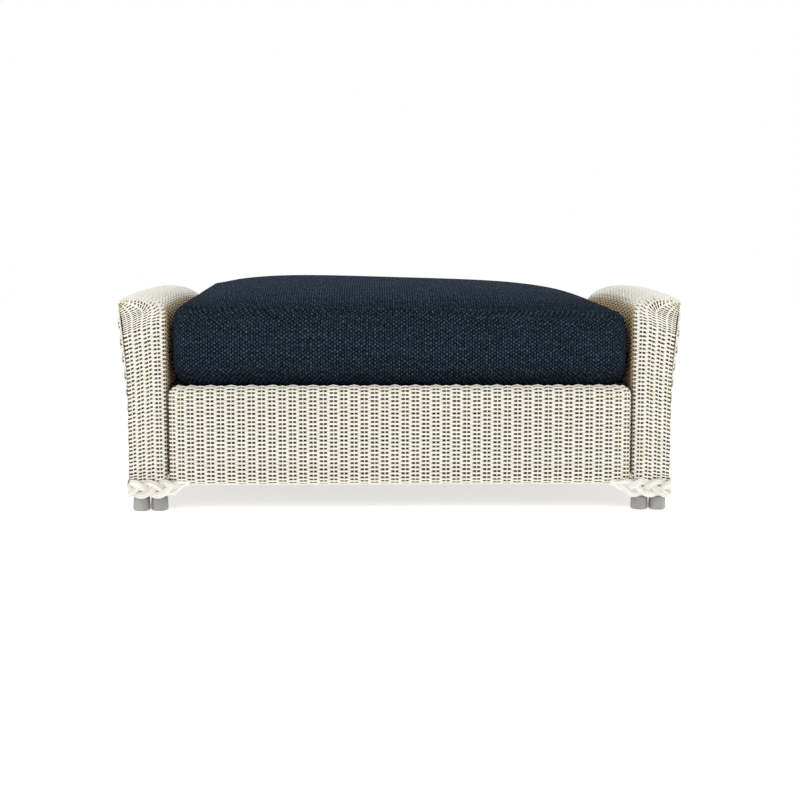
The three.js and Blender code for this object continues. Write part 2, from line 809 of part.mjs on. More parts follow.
// The cushion's form, shrunk by a skin: flat under side, bulging boxing, drawn-in seams and a crown,
// with the filling settled towards one back corner
function cushionForm(skin) {
  const underShare = 0.5;
  const levels = [
    [cushionUnderPull, 0, underShare],
    [cushionUnderPull, 0, 1],
    [cushionUnderPull / 4, cushionBulgeLow / 3, 1],
    [0, cushionBulgeLow, 1],
    [0, cushionBulgeHigh, 1],
    [cushionPull / 3, cushionEdgeHeight - cushionShoulder, 1],
    [cushionPull, cushionEdgeHeight, 1],
  ];
  const rings = levels.map(([inset, z, share]) => {
    const height = Math.min(Math.max(z, skin), cushionEdgeHeight + cushionCrown - skin);
    return cushionRing(inset + skin, height, share);
  });
  const reachX = cushionWidth / 2 - cushionPull - skin;
  const reachY = cushionDepth / 2 - cushionPull - skin;
  const domeAt = (share) => 1 - Math.abs(share) ** crownExponent;
  const crownShares = [0.93, 0.8, 0.58, 0.25];
  for (const share of crownShares) {
    const ring = cushionRing(cushionPull + skin, cushionEdgeHeight - skin, share);
    ring.forEach((point) => {
      point.z += cushionCrown * domeAt(point.x / reachX) * domeAt(point.y / reachY);
    });
    rings.push(ring);
  }
  for (const point of rings.flat()) {
    const x = point.x / reachX;
    const y = point.y / reachY;
    const lean = fillLeanSideways * x + fillLeanBack * y + fillLeanTwist * x * y;
    point.z += lean * Math.min(point.z / cushionEdgeHeight, 1);
  }
  return ringsToSolid(rings).translate(0, 0, cushionBottom);
}

function cushionCover() {
  const cavity = solidOf(cushionForm(coverThickness));
  const wallDepth = coverThickness + overrun * 2;
  const slot = new THREE.BoxGeometry(zipLength, wallDepth, zipGap);
  slot.translate(0, cushionDepth / 2 - coverThickness / 2, cushionBottom + zipHeight);
  return geometryOf(solidOf(cushionForm(0)).subtract(cavity).subtract(solidOf(slot)));
}

function cushionFoam() {
  return cushionForm(coverThickness + fit);
}

function zipChain() {
  const chain = new THREE.BoxGeometry(zipLength - fit * 2, coverThickness, zipGap - fit * 2);
  return chain.translate(0, cushionDepth / 2 - coverThickness / 2, 0);
}

// Slider body with a lug for the pull's pin
function zipSlider() {
  const body = new THREE.BoxGeometry(sliderLength, sliderThickness, sliderHeight);
  body.translate(0, sliderThickness / 2, 0);
  let slider = solidOf(body);
  for (const [, side] of sides) {
    const rooted = sliderThickness / 2;
    const lug = new THREE.BoxGeometry(pinDiameter, rooted + sliderLug, pullEye);
    lug.translate(side * (pullWidth / 2 + fit + pinDiameter / 2), rooted + (rooted + sliderLug) / 2, 0);
    slider = slider.add(solidOf(lug));
  }
  return geometryOf(slider);
}

// Pull tab that hangs from the slider on its pin
function zipPull() {
  const pin = new THREE.CylinderGeometry(pinDiameter / 2, pinDiameter / 2, pullWidth, tubeSides);
  pin.rotateZ(Math.PI / 2);
  const shape = new THREE.Shape();
  const half = pullWidth / 2;
  shape.moveTo(-half, 0);
  shape.lineTo(half, 0);
  shape.lineTo(half, -pullLength + half);
  shape.absarc(0, -pullLength + half, half, 0, -Math.PI, true);
  shape.closePath();
  const endSegments = 6;
  const tab = new THREE.ExtrudeGeometry(shape, {
    depth: pullThickness,
    bevelEnabled: false,
    curveSegments: endSegments,
  });
  tab.rotateX(Math.PI / 2);
  tab.translate(0, pullThickness / 2, 0);
  return geometryOf(solidOf(pin).add(solidOf(tab)));
}

// Assembly
const ottoman = new THREE.Group();

const frame = new THREE.Group();
ottoman.add(frame);
for (const [endName, end] of ends) {
  addPart(frame, `base_bow_${endName}`, baseBowPart(end), satinAluminium);
  addPart(frame, `seat_rail_${endName}`, seatRail(end), paintedTube);
}
for (const [sideName, side] of sides) {
  addPart(frame, `outer_hoop_${sideName}`, onSide(outerHoop(), side), satinAluminium);
  addPart(frame, `inner_hoop_${sideName}`, onSide(innerHoop(), side), paintedTube);
  addPart(frame, `arm_crest_frame_${sideName}`, onSide(armCrestFrame(), side), paintedTube);
  addPart(frame, `seat_side_rail_${sideName}`, seatSideRail(side), paintedTube);
  addPart(frame, `foot_side_rail_${sideName}`, footSideRail(side), paintedTube);
  for (const [endName, end] of ends) {
    const inner = addPart(frame, `glide_inner_${endName}_${sideName}`, footCap(), greyNylon);
    inner.position.set(side * innerPostX, end * railY, 0);
    const outer = addPart(frame, `glide_outer_${endName}_${sideName}`, footCap(), greyNylon);
    outer.position.set(side * outerPostX, end * postY, 0);
  }
}

const deck = new THREE.Group();
deck.position.z = strapPlane;
ottoman.add(deck);
const deckHalfX = sideRailX + strapLap;
const deckHalfY = railY - fit;
const longPlaces = spread(longStrapCount, deckHalfY - strapWidth);
const crossPlaces = spread(crossStrapCount, deckHalfX - strapWidth);
longPlaces.forEach((y, k) => {
  const form = wavedStrap(deckHalfX, crossPlaces, k % 2 === 0);
  const strap = addPart(deck, `long_strap_${k + 1}`, form, brownStrap);
  strap.position.y = y;
});
crossPlaces.forEach((x, k) => {
  const form = wavedStrap(deckHalfY, longPlaces, k % 2 === 1);
  const strap = addPart(deck, `cross_strap_${k + 1}`, form, brownStrap);
  strap.position.x = x;
  strap.rotation.z = Math.PI / 2;
});

const skins = new THREE.Group();
ottoman.add(skins);
const apronForm = apron();
addPart(skins, 'front_apron', apronForm, antiqueWeave);
addPart(skins, 'back_apron', apronForm, antiqueWeave).rotation.z = Math.PI;
const strandNames = ['a', 'b', 'c'];
for (const [sideName, side] of sides) {
  addPart(skins, `arm_skin_${sideName}`, onSide(armSkin(), side), antiqueWeave);
  addPart(skins, `side_panel_${sideName}`, onSide(sidePanel(), side), antiqueWeave);
  strandNames.forEach((letter, k) => {
    const foot = plaitStrand(footPlaitRoute(), k);
    addPart(skins, `foot_plait_${sideName}_${letter}`, onSide(foot, side), paleBraid);
    const edge = plaitStrand(sidePlaitRoute(), k);
    addPart(skins, `side_plait_${sideName}_${letter}`, onSide(edge, side), paleBraid);
  });
}

const cushion = new THREE.Group();
ottoman.add(cushion);
addPart(cushion, 'cushion_cover', cushionCover(), navyCloth);
addPart(cushion, 'cushion_foam', cushionFoam(), paleFoam);
const zip = new THREE.Group();
zip.position.z = cushionBottom + zipHeight;
cushion.add(zip);
addPart(zip, 'zip_chain', zipChain(), darkTape);
const slider = addPart(zip, 'zip_slider', zipSlider(), zipMetal);
slider.position.set(zipLength / 2 - sliderLength, cushionDepth / 2 + fit, 0);
const pull = addPart(zip, 'zip_pull', zipPull(), zipMetal);
pull.position.set(slider.position.x, slider.position.y + sliderThickness + sliderLug / 2, 0);

export default ottoman;
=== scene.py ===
import math

import bmesh
import bpy
import numpy as np
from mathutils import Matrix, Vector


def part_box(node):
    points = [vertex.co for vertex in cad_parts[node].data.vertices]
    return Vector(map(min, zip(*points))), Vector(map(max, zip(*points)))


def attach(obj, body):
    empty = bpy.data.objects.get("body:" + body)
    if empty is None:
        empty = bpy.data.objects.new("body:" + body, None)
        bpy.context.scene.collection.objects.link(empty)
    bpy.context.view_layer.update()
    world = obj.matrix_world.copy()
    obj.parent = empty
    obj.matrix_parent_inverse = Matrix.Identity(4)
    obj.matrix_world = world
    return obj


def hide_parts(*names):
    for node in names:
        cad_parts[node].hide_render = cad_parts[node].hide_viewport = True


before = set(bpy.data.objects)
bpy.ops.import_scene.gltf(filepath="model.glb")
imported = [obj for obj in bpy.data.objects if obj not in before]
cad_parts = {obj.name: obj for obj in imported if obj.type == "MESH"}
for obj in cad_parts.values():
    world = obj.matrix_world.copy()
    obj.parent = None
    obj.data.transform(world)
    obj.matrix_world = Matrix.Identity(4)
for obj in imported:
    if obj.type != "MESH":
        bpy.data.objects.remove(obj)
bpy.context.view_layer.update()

# Driving sizes in millimetres, as in the part's source
mm = 0.001
fit = 0.3
weave_thickness = 6.1
tube_radius = 12.7
cap_radius = 15.3
cap_gap = 1.9
strap_thickness = 1.8
front_y = 310
weave_bottom = 47
apron_half_width = 420
apron_top = 230
apron_set_back = 2.5
apron_to_arm = 2
apron_corner = 16
shoulder_width = 48
shoulder_rise = 50
crest_height = 395
crest_crown = 9
arm_outer_drop = 12
arm_flare = 14
flare_start = 190
bulge = 7
bulge_start = 160
bulge_full = 315
bulge_end = 350
panel_wrap = math.radians(39)
roll_depth = 50
roll_inset = 26
corner_roll_depth = 12
corner_roll_inset = 4
row_pitch = 3.79
stake_pitch = 18.75
sheet_middle = 2.4

# Sizes worked out from those above
wrap_radius = tube_radius + fit + weave_thickness
post_y = front_y - wrap_radius
rail_y = front_y - apron_set_back - wrap_radius
low_rail_z = weave_bottom + wrap_radius
seat_rail_z = apron_top - wrap_radius
arm_inner_x = apron_half_width + apron_to_arm
inner_post_x = arm_inner_x + wrap_radius
outer_bottom_x = inner_post_x + cap_radius * 2 + cap_gap + wrap_radius
shoulder_height = crest_height - shoulder_rise
arm_outer_height = crest_height - arm_outer_drop
cushion_bottom = seat_rail_z + tube_radius + fit * 3 + strap_thickness * 2


def smooth(value):
    t = np.clip(value, 0, 1)
    return t * t * (3 - 2 * t)


def side_x(z):
    """Outer edge of an arm's end faces at a height."""
    rise = np.maximum(z - flare_start, 0) / (arm_outer_height - flare_start)
    return outer_bottom_x + arm_flare * rise * rise


def panel_x(z):
    """Face of the outer panel at a height."""
    rise = smooth((z - bulge_start) / (bulge_full - bulge_start))
    fall = smooth((z - bulge_end) / (crest_height - bulge_end))
    return side_x(z) + bulge * rise * (1 - fall)


# Materials

def new_material(name):
    material = bpy.data.materials.new(name)
    material.use_nodes = True
    nodes = material.node_tree.nodes
    return material, nodes, material.node_tree.links, nodes["Principled BSDF"]


def math_node(nodes, links, operation, first, second=None):
    node = nodes.new("ShaderNodeMath")
    node.operation = operation
    for socket, value in zip(node.inputs, (first, second)):
        if value is None:
            continue
        if isinstance(value, (int, float)):
            socket.default_value = value
        else:
            links.new(value, socket)
    return node.outputs[0]


def noise(nodes, links, coordinates, scale, detail=3.0, stretch=(1, 1, 1)):
    """Noise on the piece's own coordinates, stretched along an axis where wanted."""
    mapping = nodes.new("ShaderNodeMapping")
    mapping.inputs["Scale"].default_value = stretch
    links.new(coordinates, mapping.inputs["Vector"])
    texture = nodes.new("ShaderNodeTexNoise")
    texture.inputs["Scale"].default_value = scale
    texture.inputs["Detail"].default_value = detail
    links.new(mapping.outputs[0], texture.inputs["Vector"])
    return texture.outputs["Fac"]


def ramp(nodes, links, value, stops):
    node = nodes.new("ShaderNodeValToRGB")
    elements = node.color_ramp.elements
    while len(elements) < len(stops):
        elements.new(0.5)
    for element, (place, colour) in zip(elements, stops):
        element.position = place
        element.color = (*colour, 1)
    links.new(value, node.inputs[0])
    return node.outputs[0]


def mix(nodes, links, factor, first, second, blend="MIX"):
    node = nodes.new("ShaderNodeMix")
    node.data_type = "RGBA"
    node.blend_type = blend
    sockets = (node.inputs[0], node.inputs[6], node.inputs[7])
    for socket, value in zip(sockets, (factor, first, second)):
        if isinstance(value, (int, float)):
            socket.default_value = value
        elif isinstance(value, tuple):
            socket.default_value = (*value, 1)
        else:
            links.new(value, socket)
    return node.outputs[2]


def add_bump(nodes, links, shader, height, strength, distance):
    node = nodes.new("ShaderNodeBump")
    node.inputs["Strength"].default_value = strength
    node.inputs["Distance"].default_value = distance
    links.new(height, node.inputs["Height"])
    links.new(node.outputs[0], shader.inputs["Normal"])


def own_coordinates(nodes, output="Object"):
    return nodes.new("ShaderNodeTexCoord").outputs[output]


def wicker_material(name, front, middle, deep, patch):
    """Painted wicker: pale on the crowns of the strands, brown glazing in the hollows, which are
    darkened further as painted shade.
    """
    material, nodes, links, shader = new_material(name)
    depth = nodes.new("ShaderNodeAttribute")
    depth.attribute_name = "depth"
    tint = nodes.new("ShaderNodeAttribute")
    tint.attribute_name = "tint"
    place = own_coordinates(nodes)
    wear = noise(nodes, links, place, 62, 5)
    grain = noise(nodes, links, place, 900, 2)
    flecks = math_node(nodes, links, "SUBTRACT", grain, 0.5)
    flecks = math_node(nodes, links, "MULTIPLY", flecks, 0.2)
    level = math_node(nodes, links, "ADD", depth.outputs["Fac"], flecks)
    # Colour by depth: brown glazing in the hollows, going near black in the deepest as painted
    # shade
    glaze_and_shade = ramp(nodes, links, level, deep)
    pale = ramp(nodes, links, wear, [(0.3, patch), (0.52, middle), (0.72, front)])
    shade = mix(nodes, links, 1.0, glaze_and_shade, pale, "MULTIPLY")
    # Tint 0 paints a strand brown as shade, on an arm's inner side; the strands' random tints lie
    # higher and only vary the tone
    lift = ramp(nodes, links, tint.outputs["Fac"], [
        (0.0, (0.5, 0.39, 0.24)), (0.4, (0.93, 0.92, 0.89)), (1.0, (1, 1, 1))])
    links.new(mix(nodes, links, 1.0, shade, lift, "MULTIPLY"), shader.inputs["Base Color"])
    rough = ramp(nodes, links, grain, [(0.3, (0.42,) * 3), (0.7, (0.62,) * 3)])
    links.new(rough, shader.inputs["Roughness"])
    shader.inputs["Specular IOR Level"].default_value = 0.15
    add_bump(nodes, links, shader, grain, 0.35, 0.0006)
    return material


def weave_material():
    # Near black in the deepest hollows as painted shade, then brown and gold glazing, then the pale
    # paint
    deep = [
        (0.0, (0.014, 0.009, 0.002)), (0.36, (0.034, 0.023, 0.004)),
        (0.52, (0.13, 0.09, 0.017)), (0.66, (0.42, 0.31, 0.1)),
        (0.8, (0.88, 0.81, 0.62)), (0.88, (1, 1, 1)),
    ]
    return wicker_material("antique_weave_painted_shade", (0.785, 0.775, 0.75), (0.765, 0.75, 0.705), deep,
                           (0.74, 0.715, 0.655))


def braid_material():
    # The low sides of the braid's strands are painted darker, as shade
    deep = [
        (0.0, (0.55, 0.47, 0.35)), (0.2, (0.86, 0.82, 0.73)),
        (0.4, (0.99, 0.975, 0.95)), (1.0, (1, 1, 1)),
    ]
    return wicker_material("pale_braid", (0.81, 0.81, 0.805), (0.79, 0.785, 0.77), deep,
                           (0.74, 0.715, 0.67))


cell_width = 4.8
cell_height = 3.7
cloth_shade_height = 200


def cushion_material():
    """Navy hopsack cloth: small cells of two threads each, weft and warp by turns, with slubs."""
    material, nodes, links, shader = new_material("navy_hopsack")
    cloth = own_coordinates(nodes, "UV")
    cells = nodes.new("ShaderNodeMapping")
    cells.inputs["Scale"].default_value = (1 / (cell_width * mm), 1 / (cell_height * mm), 1)
    links.new(cloth, cells.inputs["Vector"])
    split = nodes.new("ShaderNodeSeparateXYZ")
    links.new(cells.outputs[0], split.inputs[0])
    check = nodes.new("ShaderNodeTexChecker")
    check.inputs["Scale"].default_value = 1
    links.new(cells.outputs[0], check.inputs["Vector"])

    def threads(line, along):
        """Two rounded threads to a cell, each arched where it crosses over."""
        angle = math_node(nodes, links, "MULTIPLY", split.outputs[line], math.pi * 2)
        ridge = math_node(nodes, links, "ABSOLUTE", math_node(nodes, links, "SINE", angle))
        angle = math_node(nodes, links, "MULTIPLY", split.outputs[along], math.pi)
        arch = math_node(nodes, links, "ABSOLUTE", math_node(nodes, links, "SINE", angle))
        arch = math_node(nodes, links, "POWER", arch, 0.7)
        return math_node(nodes, links, "MULTIPLY", ridge, arch)

    height = nodes.new("ShaderNodeMix")
    links.new(check.outputs["Fac"], height.inputs[0])
    links.new(math_node(nodes, links, "MULTIPLY", threads(0, 1), 0.55), height.inputs[2])
    links.new(threads(1, 0), height.inputs[3])
    height = height.outputs[0]
    slub = noise(nodes, links, cloth, 190, 2)
    long_slub = noise(nodes, links, cloth, 45, 3, (0.35, 1.6, 1))
    tone = ramp(nodes, links, height, [
        (0.0, (0.001, 0.002, 0.004)), (0.45, (0.010, 0.016, 0.024)), (1.0, (0.062, 0.08, 0.1))])
    lively = ramp(nodes, links, slub, [
        (0.36, (0.5, 0.5, 0.52)), (0.52, (1, 1, 1)), (0.7, (2.1, 2.1, 2.0))])
    streak = ramp(nodes, links, long_slub, [(0.35, (0.85, 0.85, 0.88)), (0.7, (1.2, 1.2, 1.2))])
    colour = mix(nodes, links, 1.0, tone, lively, "MULTIPLY")
    colour = mix(nodes, links, 1.0, colour, streak, "MULTIPLY")
    # Painted shade over the lowest part of the cushion, where it tucks under, and a painted
    # highlight, brighter and bluer, over its top
    spot = nodes.new("ShaderNodeSeparateXYZ")
    links.new(own_coordinates(nodes), spot.inputs[0])
    rise = math_node(nodes, links, "SUBTRACT", spot.outputs[2], cushion_bottom * mm)
    rise = math_node(nodes, links, "MULTIPLY", rise, 1 / (cloth_shade_height * mm))
    painted_shade_and_light = ramp(nodes, links, rise, [
        (0.03, (0.3, 0.31, 0.33)), (0.16, (0.8, 0.8, 0.82)), (0.3, (1, 1, 1)),
        (0.72, (1, 1, 1)), (0.84, (1.5, 1.56, 1.6))])
    colour = mix(nodes, links, 1.0, colour, painted_shade_and_light, "MULTIPLY")
    links.new(colour, shader.inputs["Base Color"])
    shader.inputs["Roughness"].default_value = 0.9
    shader.inputs["Specular IOR Level"].default_value = 0.01
    add_bump(nodes, links, shader, height, 0.7, 0.0006)
    return material


def brushed_metal(name, colour, roughness, metallic, scale, stretch):
    """Metal with fine lines along it and a slow change of tone."""
    material, nodes, links, shader = new_material(name)
    place = own_coordinates(nodes)
    lines = noise(nodes, links, place, scale, 3, stretch)
    cloud = noise(nodes, links, place, 14, 3)
    dark = tuple(part * 0.82 for part in colour)
    tone = ramp(nodes, links, cloud, [(0.3, dark), (0.7, colour)])
    links.new(tone, shader.inputs["Base Color"])
    low = (roughness - 0.08,) * 3
    high = (roughness + 0.1,) * 3
    links.new(ramp(nodes, links, lines, [(0.3, low), (0.7, high)]), shader.inputs["Roughness"])
    shader.inputs["Metallic"].default_value = metallic
    add_bump(nodes, links, shader, lines, 0.12, 0.0003)
    return material


def webbing_material():
    """Brown woven strap: fine ribs across and a diagonal twill over them."""
    material, nodes, links, shader = new_material("brown_webbing")
    place = own_coordinates(nodes)
    ribs = nodes.new("ShaderNodeTexWave")
    ribs.wave_type = "BANDS"
    ribs.bands_direction = "DIAGONAL"
    ribs.inputs["Scale"].default_value = 260
    links.new(place, ribs.inputs["Vector"])
    fuzz = noise(nodes, links, place, 700, 2)
    height = math_node(nodes, links, "MULTIPLY", ribs.outputs["Fac"], fuzz)
    tone = ramp(nodes, links, height, [(0.1, (0.035, 0.022, 0.012)), (0.7, (0.11, 0.075, 0.045))])
    links.new(tone, shader.inputs["Base Color"])
    shader.inputs["Roughness"].default_value = 0.8
    add_bump(nodes, links, shader, height, 0.5, 0.0005)
    return material


def nylon_material(name, colour, rough):
    """Fine-grained plastic or paint, a little scuffed."""
    material, nodes, links, shader = new_material(name)
    place = own_coordinates(nodes)
    grain = noise(nodes, links, place, 1400, 2)
    scuff = noise(nodes, links, place, 60, 5, (1, 1, 0.3))
    dark = tuple(part * 0.78 for part in colour)
    tone = ramp(nodes, links, scuff, [(0.35, dark), (0.6, colour)])
    links.new(tone, shader.inputs["Base Color"])
    links.new(ramp(nodes, links, scuff, [(0.3, (rough + 0.15,) * 3), (0.7, (rough,) * 3)]),
              shader.inputs["Roughness"])
    add_bump(nodes, links, shader, grain, 0.15, 0.0003)
    return material


def floor_material():
    """White floor that gives off a little light of its own, as a lit backdrop does."""
    material, nodes, links, shader = new_material("white_floor")
    place = own_coordinates(nodes)
    soft = noise(nodes, links, place, 3, 2)
    tone = ramp(nodes, links, soft, [(0.3, (0.9, 0.9, 0.9)), (0.7, (0.93, 0.93, 0.93))])
    links.new(tone, shader.inputs["Base Color"])
    shader.inputs["Roughness"].default_value = 0.9
    shader.inputs["Emission Color"].default_value = (1, 1, 1, 1)
    shader.inputs["Emission Strength"].default_value = 0.68
    return material


weave_paint = weave_material()
braid_paint = braid_material()
navy_cloth = cushion_material()
satin_tube = brushed_metal("satin_aluminium", (0.6, 0.6, 0.58), 0.34, 1.0, 260, (1, 1, 0.06))
painted_tube = nylon_material("brown_tube_paint", (0.06, 0.045, 0.03), 0.5)
cap_nylon = nylon_material("satin_grey_cap", (0.3, 0.297, 0.285), 0.36)
strap_web = webbing_material()
zip_metal = brushed_metal("dark_zip_metal", (0.09, 0.09, 0.1), 0.35, 1.0, 500, (1, 0.2, 1))
zip_tape = nylon_material("navy_zip_tape", (0.012, 0.017, 0.028), 0.75)


# Pieces

def add_piece(name, mesh, material, slot, body, *nodes):
    piece = bpy.data.objects.new(name, mesh)
    bpy.context.scene.collection.objects.link(piece)
    mesh.materials.clear()
    mesh.materials.append(material)
    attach(piece, body)
    if nodes:
        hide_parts(*nodes)
    return piece


ring_sides = 6


def round_strands(name, strands):
    """One mesh of round strands, each given by its points and radii in millimetres."""
    curve = bpy.data.curves.new(name, "CURVE")
    curve.dimensions = "3D"
    curve.bevel_depth = mm
    curve.bevel_resolution = (ring_sides - 4) // 2
    curve.use_fill_caps = True
    for points, radii in strands:
        spline = curve.splines.new("POLY")
        spline.points.add(len(points) - 1)
        places = np.concatenate([points * mm, np.ones((len(points), 1))], axis=1)
        spline.points.foreach_set("co", places.ravel())
        spline.points.foreach_set("radius", np.asarray(radii, dtype=float))
    shape = bpy.data.objects.new(name, curve)
    mesh = bpy.data.meshes.new_from_object(shape)
    bpy.data.objects.remove(shape)
    bpy.data.curves.remove(curve)
    return mesh


def store(mesh, name, values):
    layer = mesh.attributes.new(name, "FLOAT", "POINT")
    layer.data.foreach_set("value", np.asarray(values, dtype=np.float32))


def close_caps(mesh):
    """Join the end caps of the strands to their walls."""
    joined = bmesh.new()
    joined.from_mesh(mesh)
    bmesh.ops.remove_doubles(joined, verts=joined.verts, dist=1e-7)
    joined.to_mesh(mesh)
    joined.free()


def mark_strands(mesh, strands, bases, normals, tints, low, high):
    """Keep how proud each vertex stands of the sheet's middle, from 0 deep to 1 proud."""
    spots = np.empty(len(mesh.vertices) * 3)
    mesh.vertices.foreach_get("co", spots)
    spots = spots.reshape(-1, 3) / mm

    def per_vertex(values):
        caps = [end for value in reversed(values) for end in (value[-1], value[0])]
        return np.repeat(np.concatenate([caps, *values]), ring_sides, axis=0)

    proud = ((spots - per_vertex(bases)) * per_vertex(normals)).sum(axis=1)
    # How proud a vertex stands sets the painted shade of the hollows in the wicker paint
    store(mesh, "depth", np.clip((proud - low) / (high - low), 0, 1))
    spread = [np.zeros(len(base)) + tint for base, tint in zip(bases, tints)]
    store(mesh, "tint", per_vertex(spread))
    close_caps(mesh)


# Places of a weaver within one stake's share of it, with the stake itself in the middle. A level
# is a strand's height over the middle of the sheet. The paint darkens with depth as painted shade,
# and paleness lifts a place's colour out of that shade
stake_places = (0.02, 0.17, 0.5, 0.82, 0.93, 1.0)
# Where a row's ends dip deep, they are painted dark as shade along the seam
edge_level = -2.8
edge_girth = 1.3
between_level = 0.9
between_girth = 2.25
between_paleness = 1.3
over_level = 1.5
over_girth = 2.08
over_paleness = 0.1
beside_stake = (1.4, 2.12, 0.2)
under_levels = (0.6, -2.2, -2.7, -2.4, 0.6)
under_girths = (2.0, 2.5, 2.6, 2.5, 2.0)
under_paleness = (0.6, 0, 0, 0, 1.0)
stake_girth = 1.15
stake_level = 0.5
stake_paleness = 1.3
stake_tint = 0.6
weaver_tint = 0.45
deepest = -3.2
proudest = 3.2

# Strands laid by hand are a little uneven
level_spread = 0.12
sway_spread = 0.08
paleness_middle = 0.1
paleness_spread = 0.3

# The top of an arm is woven flat and lifted paler out of the painted hollow shade, and its inner
# side, facing the cushion, is painted brown as shade
top_start = 0.6
top_blend = 0.28
top_flatness = 0.75
top_paleness = 0.8
top_thinning = 0.1
inner_shade_start = 0.7
inner_shade_blend = 0.25


def over_and_under(stake_count, first_over, dark_edge):
    """Each place of a weaver with its level, girth and paleness, over one stake, under the next."""
    last = len(stake_places) * stake_count
    between = (between_level, between_girth, between_paleness)
    edge = (edge_level, edge_girth, 0) if dark_edge else between
    steps = [(0, *edge), (1, *edge)]
    for stake in range(stake_count):
        start = len(stake_places) * stake
        if (stake % 2 == 0) == first_over:
            if stake == 0:
                steps.append((2, *between))
            else:
                steps.append((start + 2, *beside_stake))
            steps.append((start + 3, over_level, over_girth, over_paleness))
            if stake == stake_count - 1:
                steps += [(last - 2, *between), (last - 1, *edge)]
            else:
                steps.append((start + 4, *beside_stake))
        else:
            places = range(start + 1, start + 6)
            under = list(zip(places, under_levels, under_girths, under_paleness))
            steps += under[1:] if stake == 0 else under
        steps.append((start + len(stake_places), *between))
    steps[-1] = (last, *edge)
    chosen, levels, girths, paleness = (np.array(column) for column in zip(*steps))
    return chosen, levels, girths, paleness


# Share by which weavers are thinner at the foot and thicker near the top of an arm, and where
foot_thinning = 0.07
foot_start = 55
foot_blend = 35
crest_thickening = 0.06
crest_start = 285
crest_blend = 60


def packing(height):
    """How thick the weavers are at a height, as a share of their usual girth."""
    foot = foot_thinning * (1 - smooth((height - foot_start) / foot_blend))
    return 1 - foot + crest_thickening * smooth((height - crest_start) / crest_blend)


def lay_weave(name, surface, stake_count, outward, seed, dark_edge=True, arm=0):
    """Weavers over and under the stakes of a surface given as rows by places along them.

    The normals point outward by the sign given. An arm is -1 for the left one and 1 for the right.
    """
    random = np.random.default_rng(seed)
    places = np.concatenate([[0.0], np.add.outer(np.arange(stake_count), stake_places).ravel()])
    outer = surface(places)
    along = np.gradient(outer, places, axis=1)
    across = np.gradient(outer, axis=0)
    normals = np.cross(along, across) * outward
    normals /= np.maximum(np.linalg.norm(normals, axis=2, keepdims=True), 1e-9)
    middle = outer - normals * sheet_middle
    looseness = np.clip(np.linalg.norm(along, axis=2) / stake_pitch, 0.15, 1.1)
    tightness = np.clip(np.linalg.norm(across, axis=2) / row_pitch, 0.35, 1.2)
    up = across / np.maximum(np.linalg.norm(across, axis=2, keepdims=True), 1e-9)
    upward = smooth((normals[:, :, 2] - top_start) / top_blend) * abs(arm)
    # The inner side of an arm, painted brown as shade through its tint
    inner_shade = smooth((-arm * normals[:, :, 0] - inner_shade_start) / inner_shade_blend)
    patterns = [over_and_under(stake_count, first_over, dark_edge) for first_over in (True, False)]
    strands, bases, sides, tints = [], [], [], []
    for row in range(len(middle)):
        chosen, levels, girths, paleness = patterns[row % 2]
        tight = upward[row, chosen]
        level = levels * looseness[row, chosen] + random.normal(0, level_spread, len(chosen))
        level += (between_level - level) * top_flatness * tight
        paleness = paleness + top_paleness * tight + random.normal(paleness_middle, paleness_spread)
        girths = girths * (1 - top_thinning * tight)
        sway = random.normal(0, sway_spread, len(chosen)) * tightness[row, chosen]
        spots = middle[row, chosen] + normals[row, chosen] * level[:, None]
        spots += up[row, chosen] * sway[:, None]
        girths = girths * tightness[row, chosen] * packing(spots[:, 2])
        strands.append((spots, girths))
        bases.append(middle[row, chosen] - normals[row, chosen] * paleness[:, None])
        sides.append(normals[row, chosen])
        # A weaver's tint falls to 0 on an arm's inner side, which paints it brown as shade
        tints.append(random.uniform(weaver_tint, 1) * (1 - inner_shade[row, chosen]))
    for stake in range(stake_count):
        column = len(stake_places) * stake + 3
        rows = np.unique(np.concatenate([np.arange(0, len(middle), 2), [len(middle) - 1]]))
        spots = middle[rows, column] + normals[rows, column] * stake_level
        strands.append((spots, stake_girth * np.clip(looseness[rows, column], 0.3, 1)))
        bases.append(middle[rows, column] - normals[rows, column] * stake_paleness)
        sides.append(normals[rows, column])
        tints.append(random.uniform(stake_tint, 1) * (1 - inner_shade[rows, column]))
    mesh = round_strands(name, strands)
    mark_strands(mesh, strands, bases, sides, tints, deepest, proudest)
    return mesh


# Stakes stand closer together towards the ends of an apron
end_stations = np.array([0, 0.5, 1.5, 2.5, 3.5, 4.5, 5.5])
end_spreads = np.array([-apron_half_width, -413.1, -397.9, -380.5, -362.8, -344.6, -325.6])
apron_corner_start = apron_half_width - 40
apron_under_turn = math.radians(125)
apron_over_turn = math.radians(88)
apron_row_shift = 2.1
scallop = 1.6
scallop_start = apron_top - 12
scallop_full = apron_top - 1


